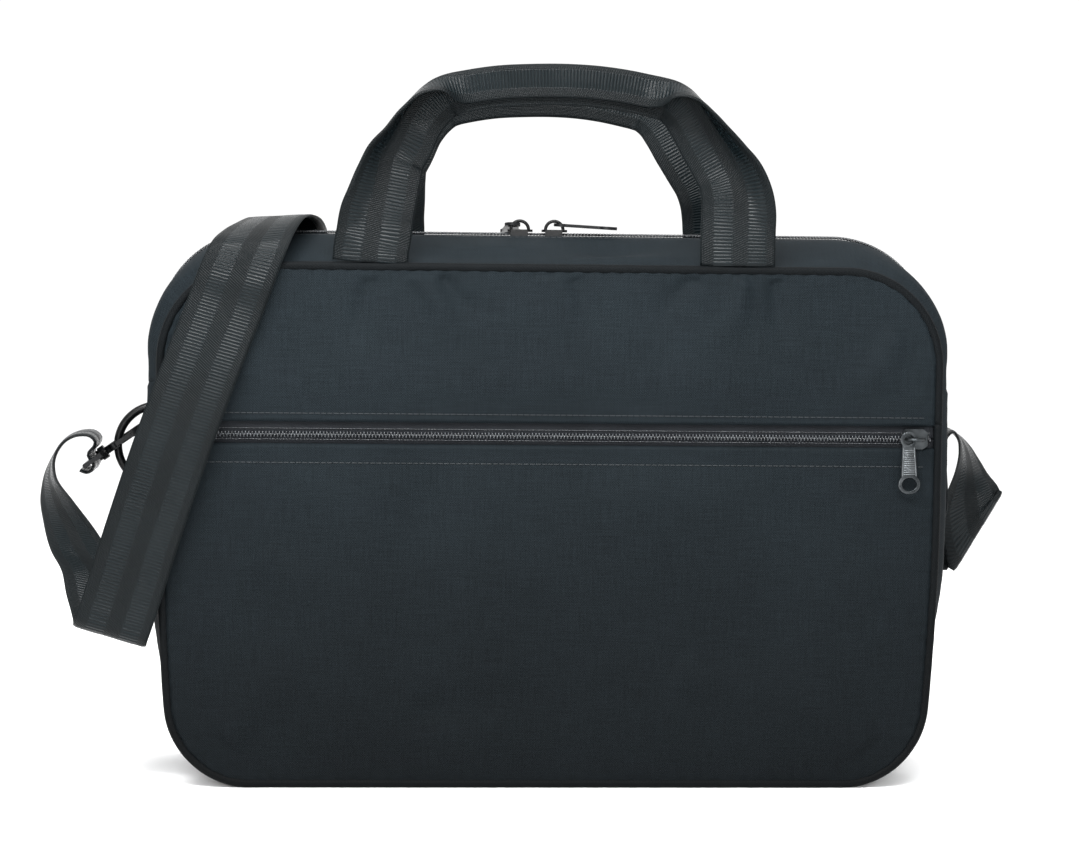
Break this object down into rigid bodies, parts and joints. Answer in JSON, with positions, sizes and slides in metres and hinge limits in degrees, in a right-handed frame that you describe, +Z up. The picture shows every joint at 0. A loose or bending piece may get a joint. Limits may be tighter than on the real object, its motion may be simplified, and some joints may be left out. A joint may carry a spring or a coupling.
{
  "type": "flight bag",
  "caption": "Soft black zip-top bag with a full-width front zip pocket, two webbing carry handles and a clip-on webbing shoulder strap draped over one corner.",
  "frame": {"origin": "on the ground under the middle of the base", "axes": "+X to the right seen from the front, front face towards -Y, +Z up"},
  "size_m": [0.5143, 0.1301, 0.3678],
  "materials": {
    "body_nylon": "tightly woven black nylon with a faint sheen",
    "piping": "black bound piping",
    "lining": "smooth dark grey lining",
    "board": "covered stiffener board",
    "webbing": "ribbed black webbing with two satin bands",
    "zip_tape": "black woven zip tape",
    "zip_coil": "black nylon coil",
    "black_metal": "glossy black metal",
    "gunmetal": "worn gunmetal"
  },
  "bodies": {
    "bag": {"front_panel_lower": "body_nylon", "back_panel": "body_nylon", "side_bottom_gusset": "body_nylon", "top_gusset_back": "body_nylon", "piping_front_lower": "piping", "piping_back": "piping", "main_tape_back": "zip_tape", "main_coil_back": "zip_coil", "pocket_tape_lower": "zip_tape", "pocket_tape_upper": "zip_tape", "pocket_coil_lower": "zip_coil", "pocket_coil_upper": "zip_coil", "pocket_lining": "lining", "base_board": "board", "side_tab_left": "webbing", "side_tab_right": "webbing", "hook_eye_left": "black_metal", "hook_eye_right": "black_metal", "shoulder_strap": "webbing"},
    "mouth": {"front_panel_upper": "body_nylon", "top_gusset_front": "body_nylon", "piping_front_upper": "piping", "main_tape_front": "zip_tape", "main_coil_front": "zip_coil"},
    "main_slider_left": {"main_slider_left": "black_metal"},
    "main_slider_right": {"main_slider_right": "black_metal"},
    "main_pull_left": {"main_pull_left": "black_metal"},
    "main_pull_right": {"main_pull_right": "black_metal"},
    "pocket_slider": {"pocket_slider": "gunmetal"},
    "pocket_pull": {"pocket_pull": "gunmetal"},
    "handle_front": {"handle_front": "webbing"},
    "handle_back": {"handle_back": "webbing"},
    "d_ring_left": {"d_ring_left": "black_metal"},
    "d_ring_right": {"d_ring_right": "black_metal"},
    "hook_left": {"snap_hook_left": "black_metal"},
    "hook_right": {"snap_hook_right": "black_metal"},
    "gate_left": {"hook_gate_left": "black_metal"},
    "gate_right": {"hook_gate_right": "black_metal"}
  },
  "joints": [
    {"name": "mouth_open", "type": "hinge", "parent": "bag", "child": "mouth", "pos_m": [0, -0.05, 0.1875], "axis": [1, 0, 0], "range_deg": [0, 28], "deforming": ["shoulder_strap"]},
    {"name": "main_slider_left_slide", "type": "slide", "parent": "mouth", "child": "main_slider_left", "axis": [1, 0, 0], "range_m": [-0.088, 0]},
    {"name": "main_slider_right_slide", "type": "slide", "parent": "mouth", "child": "main_slider_right", "axis": [1, 0, 0], "range_m": [0, 0.13]},
    {"name": "main_pull_left_swing", "type": "hinge", "parent": "main_slider_left", "child": "main_pull_left", "pos_m": [-0.0188, 0, 0.2866], "axis": [0, 0, 1], "range_deg": [-40, 40]},
    {"name": "main_pull_right_swing", "type": "hinge", "parent": "main_slider_right", "child": "main_pull_right", "pos_m": [0.0068, 0, 0.2866], "axis": [0, 0, 1], "range_deg": [-40, 60]},
    {"name": "pocket_slider_slide", "type": "slide", "parent": "bag", "child": "pocket_slider", "axis": [1, 0, 0], "range_m": [-0.324, 0]},
    {"name": "pocket_pull_swing", "type": "hinge", "parent": "pocket_slider", "child": "pocket_pull", "pos_m": [0.1812, -0.0553, 0.18], "axis": [0, -1, 0], "range_deg": [-70, 45]},
    {"name": "handle_front_swing", "type": "hinge", "parent": "mouth", "child": "handle_front", "pos_m": [0, -0.0496, 0.268], "axis": [1, 0, 0], "range_deg": [-30, 100]},
    {"name": "handle_back_swing", "type": "hinge", "parent": "bag", "child": "handle_back", "pos_m": [0, 0.0496, 0.268], "axis": [1, 0, 0], "range_deg": [-100, 30]},
    {"name": "d_ring_left_swing", "type": "hinge", "parent": "bag", "child": "d_ring_left", "pos_m": [-0.2039, 0.028, 0.168], "axis": [0, 0, 1], "range_deg": [-4, 4]},
    {"name": "d_ring_right_swing", "type": "hinge", "parent": "bag", "child": "d_ring_right", "pos_m": [0.2039, 0.028, 0.168], "axis": [0, 0, 1], "range_deg": [-4, 4]},
    {"name": "hook_left_swivel", "type": "hinge", "parent": "bag", "child": "hook_left", "pos_m": [-0.2308, 0.028, 0.165], "axis": [0.8192, 0, 0.5736], "range_deg": [-15, 15]},
    {"name": "hook_right_swivel", "type": "hinge", "parent": "bag", "child": "hook_right", "pos_m": [0.207, 0.0396, 0.1339], "axis": [0, 0, 1], "range_deg": [-12, 12]},
    {"name": "gate_left_press", "type": "hinge", "parent": "hook_left", "child": "gate_left", "pos_m": [-0.22654, 0.0209, 0.16798], "axis": [-0.5736, 0, 0.8192], "range_deg": [0, 16], "stiffness_Nm_per_rad": 0.01, "springref_deg": -17.19},
    {"name": "gate_right_press", "type": "hinge", "parent": "hook_right", "child": "gate_right", "pos_m": [0.21386, 0.03776, 0.1391], "axis": [-0.2588, -0.9659, 0], "range_deg": [0, 16], "stiffness_Nm_per_rad": 0.01, "springref_deg": -17.19}
  ]
}
